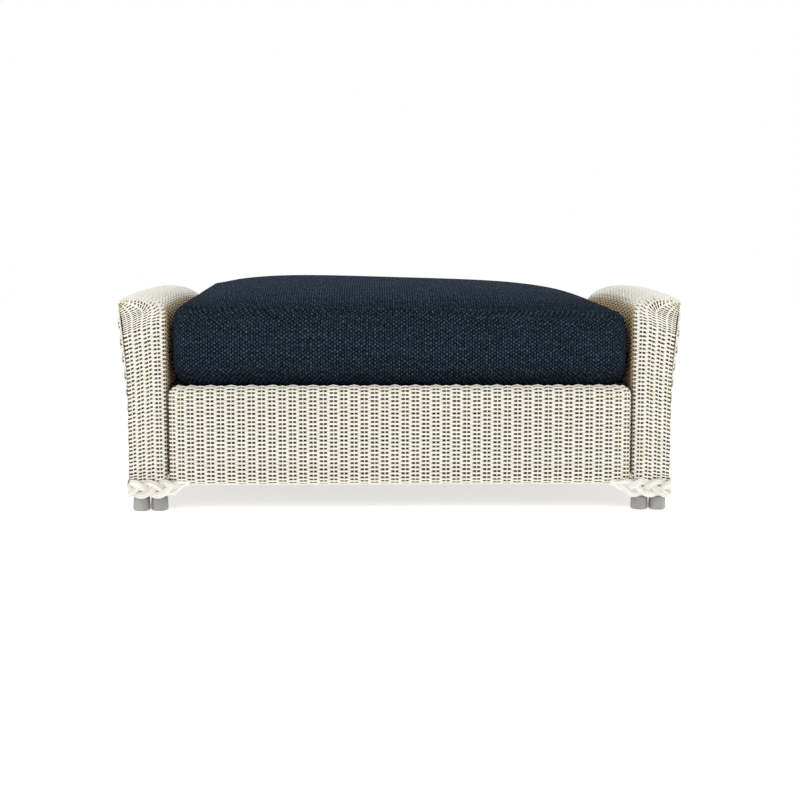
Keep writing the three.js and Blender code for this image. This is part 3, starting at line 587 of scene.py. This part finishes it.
def apron_surface(end):
    """Apron rows: round under the low rail, up the face and over the seat rail."""
    under = apron_under_turn * wrap_radius
    face = seat_rail_z - low_rail_z
    over = apron_over_turn * wrap_radius
    whole = under + face + over
    row_count = round(whole / row_pitch)
    lengths = np.linspace(row_pitch / 2, whole - row_pitch / 2, row_count) - apron_row_shift
    low_turn = np.minimum(lengths - under, 0) / wrap_radius
    high_turn = np.maximum(lengths - under - face, 0) / wrap_radius
    turn = low_turn + high_turn
    height = low_rail_z + np.clip(lengths - under, 0, face) + wrap_radius * np.sin(turn)
    depth = rail_y + wrap_radius * np.cos(turn)
    drop = np.clip(height - (apron_top - apron_corner), 0, apron_corner)
    half = apron_half_width - apron_corner + np.sqrt(apron_corner ** 2 - drop ** 2)

    def surface(places):
        count = places[-1]
        stations = np.concatenate([end_stations, count - end_stations[::-1]])
        spread = np.interp(places, stations, np.concatenate([end_spreads, -end_spreads[::-1]]))
        beyond = np.maximum(np.abs(spread) - apron_corner_start, 0)
        squeeze = (half - apron_corner_start) / (apron_half_width - apron_corner_start)
        x = np.sign(spread) * (np.abs(spread) - beyond + np.outer(squeeze, beyond))
        y = np.broadcast_to(end * depth[:, None], x.shape)
        hump = np.sin(math.pi * places) ** 2 - 0.5
        near_top = smooth((height - scallop_start) / (scallop_full - scallop_start))
        z = height[:, None] + np.outer(near_top * scallop, hump)
        return np.stack([x, y, z], axis=2)

    return surface


panel_top_drop = 1
panel_rise_start = 200


def panel_surface(side):
    """Rows of the outer side panel of an arm, which turn in round the posts at both ends."""
    top = arm_outer_height - panel_top_drop
    row_count = round((top - weave_bottom) / row_pitch)
    heights = np.linspace(weave_bottom + row_pitch / 2, top, row_count)
    rise = smooth((heights - panel_rise_start) / (top - panel_rise_start)) * crest_crown
    arc = panel_wrap * wrap_radius

    def surface(places):
        reach = (post_y + arc) * (2 * places / places[-1] - 1)
        turn = np.maximum(np.abs(reach) - post_y, 0) / wrap_radius
        y = np.sign(reach) * (np.minimum(np.abs(reach), post_y) + wrap_radius * np.sin(turn))
        inward = wrap_radius * (1 - np.cos(turn))
        x = side * (panel_x(heights)[:, None] - inward)
        z = heights[:, None] + np.outer(rise, np.maximum(1 - (reach / post_y) ** 2, 0))
        return np.stack([x, np.broadcast_to(y, x.shape), z], axis=2)

    return surface


shoulder_steps = 60
top_steps = 50
side_steps = 120


def arm_outline():
    """Outline of an arm across its width, from the foot of the inner side to the outer edge."""
    turn = np.linspace(0, math.pi / 2, shoulder_steps)
    shoulder_x = arm_inner_x + shoulder_width * (1 - np.cos(turn))
    shoulder_z = shoulder_height + (crest_height - shoulder_height) * np.sin(turn)
    share = np.linspace(0, 1, top_steps)[1:]
    shoulder_end = arm_inner_x + shoulder_width
    top_x = shoulder_end + (side_x(arm_outer_height) - shoulder_end) * share
    top_z = crest_height - (crest_height - arm_outer_height) * share ** 2
    side_z = np.linspace(weave_bottom, shoulder_height, side_steps)[:-1]
    x = np.concatenate([np.full(len(side_z), arm_inner_x), shoulder_x, top_x])
    z = np.concatenate([side_z, shoulder_z, top_z])
    return x, z


# A row that is at the first height on the inner side of an arm meets its outer edge at the second
edge_heights = [(weave_bottom, weave_bottom), (80, 66), (145, 127), (shoulder_height, 322)]
edge_top_drop = 6
end_stakes = 5
along_stakes = 30
roll_build_share = 0.45
roll_fade_start = 0.5
face_steps = 20
roll_steps = 24


def arm_surface(side, first_share, last_share):
    """Arm rows: outer edge of the front face, round the end, along the arm and down the far end."""
    x, z = arm_outline()
    lengths = np.concatenate([[0], np.cumsum(np.hypot(np.diff(x), np.diff(z)))])
    total = lengths[-1]
    row_total = 2 * round(total / row_pitch / 2)
    rows = np.arange(2 * round(first_share * row_total / 2), 2 * round(last_share * row_total / 2))
    at = (rows + 0.5) / row_total * total
    run = np.stack([np.gradient(x, lengths), np.gradient(z, lengths)], axis=1)
    point = np.stack([np.interp(at, lengths, x), np.interp(at, lengths, z)], axis=1)
    inward = np.stack(
        [np.interp(at, lengths, run[:, 1]), -np.interp(at, lengths, run[:, 0])], axis=1)
    inward /= np.linalg.norm(inward, axis=1, keepdims=True)
    shoulder_start = shoulder_height - weave_bottom
    over_top = np.maximum(at - shoulder_start, 0) / (total - shoulder_start)
    build = smooth(over_top / roll_build_share)
    fade = smooth((over_top - roll_fade_start) / (1 - roll_fade_start))
    depth = wrap_radius + (roll_depth - wrap_radius) * build
    inset = wrap_radius + (roll_inset - wrap_radius) * build
    depth += (corner_roll_depth - depth) * fade
    inset += (corner_roll_inset - inset) * fade
    lift = crest_crown * np.sin(math.pi / 2 * np.minimum(over_top * 2, 1)) ** 2
    low = np.interp(point[:, 1], *zip(*edge_heights))
    edge_top = arm_outer_height - edge_top_drop
    fan = edge_heights[-1][1] + (edge_top - edge_heights[-1][1]) * over_top
    edge_z = np.where(over_top > 0, fan, low)
    edge = np.stack([side_x(edge_z), edge_z], axis=1)
    rim = point + inward * inset[:, None]
    face_share = np.linspace(0, 1, face_steps)[:-1, None, None]
    face = edge + (rim - edge) * face_share
    turn = np.linspace(math.pi / 2, 0, roll_steps)[:, None]
    roll = point + inward * (inset * (1 - np.cos(turn)))[:, :, None]
    roll_y = -(front_y - depth + depth * np.sin(turn))
    flat = np.concatenate([face, roll])
    flat_y = np.concatenate([np.full(face.shape[:2], -front_y), roll_y])
    end_line = np.stack([flat[:, :, 0], flat_y, flat[:, :, 1]], axis=2)

    def surface(places):
        stakes = places[-1]
        near = places[places <= end_stakes]
        ends = np.empty((len(rows), len(near), 3))
        for row in range(len(rows)):
            line = end_line[:, row]
            steps = np.linalg.norm(np.diff(line, axis=0), axis=1)
            gone = np.concatenate([[0], np.cumsum(steps)])
            for axis in range(3):
                ends[row, :, axis] = np.interp(near / end_stakes * gone[-1], gone, line[:, axis])
        inner = places[(places > end_stakes) & (places < stakes - end_stakes)]
        share = 2 * (inner - end_stakes) / (stakes - 2 * end_stakes) - 1
        y = np.outer(front_y - depth, share)
        middle_x = np.broadcast_to(point[:, :1], y.shape)
        middle_z = point[:, 1:] + lift[:, None] * (1 - share ** 2)
        middle = np.stack([middle_x, y, middle_z], axis=2)
        behind = ends[:, ::-1] * (1, -1, 1)
        return np.concatenate([ends, middle, behind], axis=1) * (side, 1, 1)

    return surface


apron_stakes = 46
for name, end in (("front", -1), ("back", 1)):
    mesh = lay_weave(f"{name}_apron_weave", apron_surface(end), apron_stakes, -end, 11 + end)
    add_piece(f"{name}_apron_weave", mesh, weave_paint, "weave", "base", f"{name}_apron")

panel_stakes = 32
arm_stakes = end_stakes * 2 + along_stakes
side_share = 0.66
for name, side in (("left", -1), ("right", 1)):
    mesh = lay_weave(f"side_panel_weave_{name}", panel_surface(side), panel_stakes, side, 21 + side,
                     dark_edge=False)
    add_piece(f"side_panel_weave_{name}", mesh, weave_paint, "weave", "base", f"side_panel_{name}")
    lower = lay_weave(f"arm_side_weave_{name}", arm_surface(side, 0, side_share), arm_stakes, -side,
                      31 + side, arm=side)
    upper = lay_weave(f"arm_top_weave_{name}", arm_surface(side, side_share, 1), arm_stakes, -side,
                      41 + side, arm=side)
    add_piece(f"arm_side_weave_{name}", lower, weave_paint, "weave", "base", f"arm_skin_{name}")
    add_piece(f"arm_top_weave_{name}", upper, weave_paint, "weave", "base", f"arm_skin_{name}")


# Plaits

plait_period = 90
plait_width = 33
strand_width = 10.4
plait_depth = 2.5
plait_stand = 3.0
plait_step = 3.75
side_plait_stand = 4.4
side_plait_inset = 28
side_plait_gap = 3
side_plait_bend = 44
foot_plait_height = 42.5
foot_plait_bend = 12
tail_length = 46
tail_shift = 9
tail_thinning = 0.8

# Five fine weavers make one strand: each one's place across it and over its middle
fine_weavers = ((-5.0, -1.4), (-2.6, 0), (0, 0.4), (2.6, 0), (5.0, -1.4))
fine_girth = 1.4
girth_spread = 0.05
tail_girth_share = 0.55
fine_spread = 0.07
fine_tint = 0.3
plait_deepest = -6
plait_proudest = 5


def rounded_route(corners, radius, step):
    """Even steps of about one length along straight runs with arcs at the corners."""
    corners = [np.array(corner, dtype=float) for corner in corners]
    line = [corners[0]]
    for before, here, after in zip(corners, corners[1:], corners[2:]):
        back = (before - here) / np.linalg.norm(before - here)
        on = (after - here) / np.linalg.norm(after - here)
        half = math.acos(np.clip(back @ on, -1, 1)) / 2
        middle = (back + on) / np.linalg.norm(back + on)
        centre = here + middle * radius / math.sin(half)
        first = here + back * radius / math.tan(half) - centre
        last = here + on * radius / math.tan(half) - centre
        sweep = math.acos(np.clip(first @ last / radius ** 2, -1, 1))
        for turn in np.linspace(0, 1, 13):
            arm = first * math.sin((1 - turn) * sweep) + last * math.sin(turn * sweep)
            line.append(centre + arm / math.sin(sweep))
    line.append(corners[-1])
    line = np.array(line)
    gone = np.concatenate([[0], np.cumsum(np.linalg.norm(np.diff(line, axis=0), axis=1))])
    even = np.linspace(0, gone[-1], round(gone[-1] / step) + 1)
    return np.stack([np.interp(even, gone, line[:, axis]) for axis in range(3)], axis=1), even


def plait_mesh(name, route, gone, out, widths, seed):
    """Three flat strands of fine weavers, each crossing the route once a period."""
    random = np.random.default_rng(seed)
    run = np.gradient(route, axis=0)
    run /= np.linalg.norm(run, axis=1, keepdims=True)
    across = np.cross(run, out)
    across /= np.linalg.norm(across, axis=1, keepdims=True)
    strands, bases, sides, tints = [], [], [], []
    swing = (plait_width - strand_width) / 2
    for strand in range(3):
        phase = 2 * math.pi * (gone / plait_period + strand / 3) + math.pi / 6
        centre = route + across * (swing * np.sin(phase) * widths)[:, None]
        centre += out * (plait_depth * np.sin(2 * phase) * widths)[:, None]
        heading = np.gradient(centre, axis=0)
        heading /= np.linalg.norm(heading, axis=1, keepdims=True)
        wide = np.cross(out, heading)
        wide /= np.linalg.norm(wide, axis=1, keepdims=True)
        thick = np.cross(heading, wide)
        for spread, dome in fine_weavers:
            girth = fine_girth + random.normal(0, girth_spread)
            spots = centre + wide * (spread * widths)[:, None] + thick * (dome * widths)[:, None]
            spots += random.normal(0, fine_spread, spots.shape)
            strands.append((spots, girth * (tail_girth_share + (1 - tail_girth_share) * widths)))
            bases.append(route)
            sides.append(out)
            tints.append(random.uniform(fine_tint, 1))
    mesh = round_strands(name, strands)
    mark_strands(mesh, strands, bases, sides, tints, plait_deepest, plait_proudest)
    return mesh


def foot_plait(name, side, seed):
    """Plait round the foot of an arm, with a thin tail under the front and the back apron."""
    x = outer_bottom_x + plait_stand
    y = front_y + plait_stand
    tail_end = inner_post_x - tube_radius - tail_length
    corners = [
        (tail_end, -y, foot_plait_height), (x, -y, foot_plait_height),
        (x, y, foot_plait_height), (tail_end, y, foot_plait_height),
    ]
    route, gone = rounded_route(corners, foot_plait_bend, plait_step)
    from_end = np.minimum(gone, gone[-1] - gone)
    taper = 1 - smooth(from_end / tail_length)
    widths = 1 - tail_thinning * taper
    route[:, 2] += tail_shift * taper
    route[:, 1] -= np.sign(route[:, 1]) * tail_shift * taper
    turn_x = np.clip((route[:, 0] - (x - foot_plait_bend)) / foot_plait_bend, 0, 1)
    turn_y = np.clip((np.abs(route[:, 1]) - (y - foot_plait_bend)) / foot_plait_bend, 0, 1)
    out = np.stack([turn_x, np.sign(route[:, 1]) * turn_y, np.zeros(len(route))], axis=1)
    out /= np.linalg.norm(out, axis=1, keepdims=True)
    mirror = np.array([side, 1, 1])
    return plait_mesh(name, route * mirror, gone, out * mirror, widths, seed)


def side_plait(name, side, seed):
    """Plait round the edge of an outer panel: up the front, along the top and down the back."""
    y = front_y - side_plait_inset - plait_width / 2
    bottom = foot_plait_height + plait_width / 2 + side_plait_gap
    top = arm_outer_height - side_plait_gap - plait_width / 2
    corners = [(0, -y, bottom), (0, -y, top), (0, y, top), (0, y, bottom)]
    route, gone = rounded_route(corners, side_plait_bend, plait_step)
    height = route[:, 2]
    slope = (panel_x(height + 6) - panel_x(height - 6)) / 12
    out = np.stack([np.ones(len(route)), np.zeros(len(route)), -slope], axis=1)
    out /= np.linalg.norm(out, axis=1, keepdims=True)
    route[:, 0] = panel_x(height)
    route += out * side_plait_stand
    mirror = np.array([side, 1, 1])
    return plait_mesh(name, route * mirror, gone, out * mirror, np.ones(len(route)), seed)


for name, side in (("left", -1), ("right", 1)):
    foot = foot_plait(f"foot_braid_{name}", side, 51 + side)
    add_piece(f"foot_braid_{name}", foot, braid_paint, "plait", "base",
              *(f"foot_plait_{name}_{letter}" for letter in "abc"))
    edge = side_plait(f"side_braid_{name}", side, 61 + side)
    add_piece(f"side_braid_{name}", edge, braid_paint, "plait", "base",
              *(f"side_plait_{name}_{letter}" for letter in "abc"))


# Foot caps

cap_steps = 44
# Radius and height, from the middle of the sole, up the outside and down the inside
cap_profile = [
    (0, 0.9), (8, 0.9), (10.6, 0), (12.8, 0.1), (14.4, 0.9), (15.3, 2.4), (15.75, 4.6),
    (15.9, 7.5), (15.7, 12), (15.4, 18), (15.0, 24), (14.7, 25.5), (14.0, 26), (12.75, 25.6),
    (12.72, 5.2), (0, 5.2),
]


def foot_cap(name, x, y):
    """Moulded cap of a tube's foot, spun from its profile."""
    turned = bmesh.new()
    profile = [turned.verts.new(((x + radius) * mm, y * mm, z * mm)) for radius, z in cap_profile]
    edges = [turned.edges.new(pair) for pair in zip(profile, profile[1:])]
    bmesh.ops.spin(turned, geom=[*profile, *edges], cent=(x * mm, y * mm, 0), axis=(0, 0, 1),
                   dvec=(0, 0, 0), angle=2 * math.pi, steps=cap_steps, use_merge=True)
    bmesh.ops.remove_doubles(turned, verts=turned.verts, dist=1e-6)
    bmesh.ops.recalc_face_normals(turned, faces=turned.faces)
    mesh = bpy.data.meshes.new(name)
    turned.to_mesh(mesh)
    turned.free()
    mesh.polygons.foreach_set("use_smooth", [True] * len(mesh.polygons))
    return mesh


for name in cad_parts:
    if name.startswith("glide"):
        low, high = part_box(name)
        centre_x = (low[0] + high[0]) / 2 / mm
        centre_y = (low[1] + high[1]) / 2 / mm
        cap = foot_cap(name.replace("glide", "foot_cap"), centre_x, centre_y)
        add_piece(name.replace("glide", "foot_cap"), cap, cap_nylon, "glide", "base", name)


# Cushion

cushion_side_gap = 7
cushion_end_inset = 3
cushion_half = (arm_inner_x - cushion_side_gap, front_y - cushion_end_inset)
cushion_edge = 154
cushion_crown = 33
crown_exponent = 4.2
cushion_corner = 27
cushion_cuts = 55
lean_sideways = -10
lean_back = 12
lean_twist = -4
# Height over the bottom, and how far the side lies in there
boxing_profile = [
    (0, 24), (3, 16), (8, 10), (16, 5), (26, 2), (40, 0), (116, 0), (142, 5), (cushion_edge, 16),
]

# Filling of the cover
slack = 6
most_swell = 11
filling_pressure = 4
filling_frames = 20
softness = 0.3
seat_hold = 30


def cushion_blank():
    """Cushion before it is filled: a fine cube drawn out to boxing, crown and round corners."""
    blank = bmesh.new()
    bmesh.ops.create_cube(blank, size=2)
    bmesh.ops.subdivide_edges(blank, edges=blank.edges[:], cuts=cushion_cuts, use_grid_fill=True)
    layer = blank.loops.layers.uv.new("cloth")
    half_x, half_y = cushion_half
    for face in blank.faces:
        normal = face.normal
        for loop in face.loops:
            x, y, z = loop.vert.co
            if abs(normal.z) > 0.5:
                place = (x * half_x, y * half_y)
            elif abs(normal.y) > 0.5:
                place = (x * half_x, z * cushion_edge / 2)
            else:
                place = (y * half_y, z * cushion_edge / 2)
            loop[layer].uv = (place[0] * mm, place[1] * mm)
    for vertex in blank.verts:
        x, y, z = vertex.co
        height = (z + 1) / 2 * cushion_edge
        inset = np.interp(height, *zip(*boxing_profile))
        reach_x = half_x - inset
        reach_y = half_y - inset
        place_x = x * reach_x
        place_y = y * reach_y
        over_x = abs(place_x) - (reach_x - cushion_corner)
        over_y = abs(place_y) - (reach_y - cushion_corner)
        if over_x > 0 and over_y > 0:
            shrink = max(over_x, over_y) / math.hypot(over_x, over_y)
            place_x = math.copysign(reach_x - cushion_corner + over_x * shrink, x)
            place_y = math.copysign(reach_y - cushion_corner + over_y * shrink, y)
        if z > 0.999:
            crown_x = 1 - abs(x) ** crown_exponent
            crown_y = 1 - abs(y) ** crown_exponent
            height += cushion_crown * crown_x * crown_y
        lean = lean_sideways * x + lean_back * y + lean_twist * x * y
        height += lean * (z + 1) / 2
        vertex.co = (place_x * mm, place_y * mm, (cushion_bottom + height) * mm)
    mesh = bpy.data.meshes.new("seat_cushion")
    blank.to_mesh(mesh)
    blank.free()
    return mesh


def fill(mesh):
    """Fill the cover: it starts a little small and swells as cloth, each point kept near its place.

    Its lowest part stays as sewn, because it rests on the seat.
    """
    count = len(mesh.vertices)
    sewn = np.empty(count * 3)
    mesh.vertices.foreach_get("co", sewn)
    sewn = sewn.reshape(-1, 3)
    outward = np.empty(count * 3)
    mesh.vertices.foreach_get("normal", outward)
    outward = outward.reshape(-1, 3)
    start = sewn - outward * (slack * mm)
    slack_mesh = mesh.copy()
    slack_mesh.vertices.foreach_set("co", start.ravel())
    pillow = bpy.data.objects.new("filling", slack_mesh)
    scene = bpy.context.scene
    scene.collection.objects.link(pillow)
    cloth = pillow.modifiers.new("cloth", "CLOTH")
    cloth.settings.use_pressure = True
    cloth.settings.uniform_pressure_force = filling_pressure
    cloth.settings.effector_weights.gravity = 0
    cloth.point_cache.frame_start = 1
    cloth.point_cache.frame_end = filling_frames
    for step in range(1, filling_frames + 1):
        scene.frame_set(step)
    swollen = pillow.evaluated_get(bpy.context.evaluated_depsgraph_get()).to_mesh()
    places = np.empty(count * 3)
    swollen.vertices.foreach_get("co", places)
    places = places.reshape(-1, 3)
    scene.frame_set(1)
    bpy.data.objects.remove(pillow)
    bpy.data.meshes.remove(slack_mesh)
    moved = places - start
    far = np.linalg.norm(moved, axis=1, keepdims=True)
    moved *= np.minimum(1, most_swell * mm / np.maximum(far, 1e-9))
    places = start + moved
    low, high = sewn.min(axis=0), sewn.max(axis=0)
    swollen_low, swollen_high = places.min(axis=0), places.max(axis=0)
    places = low + (places - swollen_low) * (high - low) / (swollen_high - swollen_low)
    places = sewn + (places - sewn) * softness
    held = 1 - smooth((sewn[:, 2] - low[2]) / (seat_hold * mm))
    places[:, 2] += (sewn[:, 2] - places[:, 2]) * held
    mesh.vertices.foreach_set("co", places.ravel())
    mesh.update()


cover = cushion_blank()
fill(cover)
cushion = add_piece("seat_cushion", cover, navy_cloth, "cushion_cloth", "cushion",
                    "cushion_cover", "cushion_foam")
cushion.data.polygons.foreach_set("use_smooth", [True] * len(cushion.data.polygons))
finer = cushion.modifiers.new("finer", "SUBSURF")
finer.levels = 1
finer.render_levels = 1


# Materials of the nodes that keep their own shape

node_materials = {
    "base_bow": satin_tube, "outer_hoop": satin_tube, "seat_rail": painted_tube,
    "inner_hoop": painted_tube, "arm_crest_frame": painted_tube, "seat_side_rail": painted_tube,
    "foot_side_rail": painted_tube, "long_strap": strap_web, "cross_strap": strap_web,
    "zip_chain": zip_tape, "zip_slider": zip_metal, "zip_pull": zip_metal,
}
for name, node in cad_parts.items():
    for start, material in node_materials.items():
        if name.startswith(start):
            node.data.materials.clear()
            node.data.materials.append(material)


# Studio

def studio():
    """White floor and walls of light, with three soft lamps."""
    bpy.ops.mesh.primitive_plane_add(size=16, location=(0, 2, 0))
    floor = bpy.context.object
    floor.name = "floor"
    floor.data.materials.append(floor_material())
    world = bpy.data.worlds.new("studio")
    bpy.context.scene.world = world
    world.use_nodes = True
    background = world.node_tree.nodes["Background"]
    background.inputs["Color"].default_value = (1, 1, 1, 1)
    background.inputs["Strength"].default_value = 1.0
    for name, place, size, power, aim in (
            ("key_light", (-1.2, -2.4, 2.6), 2.0, 16, (0, 0, 0.25)),
            ("fill_light", (2.2, -2.0, 1.6), 2.4, 5, (0, 0, 0.25)),
            ("top_light", (0, 0.4, 3.0), 2.6, 6, (0, 0, 0.2))):
        light = bpy.data.lights.new(name, "AREA")
        light.shape = "SQUARE"
        light.size = size
        light.energy = power
        lamp = bpy.data.objects.new(name, light)
        bpy.context.scene.collection.objects.link(lamp)
        lamp.location = place
        towards = np.array(aim) - np.array(place)
        flat = math.hypot(towards[0], towards[1])
        lamp.rotation_euler = (math.atan2(flat, -towards[2]), 0,
                               math.atan2(-towards[0], towards[1]))


def photographer():
    """Camera in front of the part, a little above it."""
    camera = bpy.data.cameras.new("camera")
    camera.lens = 63
    camera.sensor_width = 36
    body = bpy.data.objects.new("camera", camera)
    bpy.context.scene.collection.objects.link(body)
    body.location = (-0.0424, -2.832, 0.466)
    body.rotation_euler = (math.radians(84.08), 0, math.radians(-0.95))
    bpy.context.scene.camera = body


studio()
photographer()
bpy.context.scene.view_settings.view_transform = "Standard"
